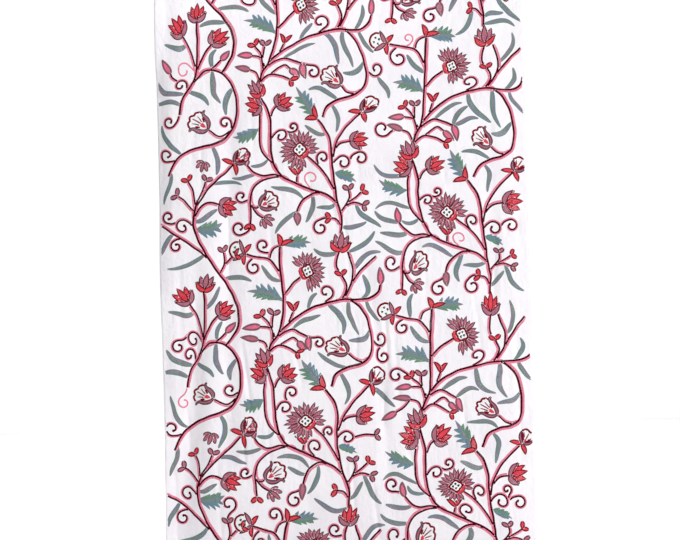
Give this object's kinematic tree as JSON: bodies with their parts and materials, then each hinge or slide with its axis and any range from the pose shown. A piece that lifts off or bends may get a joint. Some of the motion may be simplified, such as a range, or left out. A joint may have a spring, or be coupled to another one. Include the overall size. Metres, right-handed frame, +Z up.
{
  "type": "crewel embroidered curtain panel",
  "caption": "Flat-hung cotton curtain panel with plain hems and soft uneven folds, worked all over in wool crewel vines, flowers and leaves; it hangs from its top edge to screen a window.",
  "frame": {"origin": "middle of the panel's top edge, in the middle of the cloth's thickness", "axes": "+Z up, the cloth hanging down to -Z; +X to the right across the width as seen from the embroidered face, which looks to -Y"},
  "size_m": [1.3184, 0.0379, 2.13],
  "materials": {
    "ground_cotton": "matte"
  },
  "bodies": {
    "root": {"curtain_panel": "ground_cotton"}
  },
  "joints": []
}
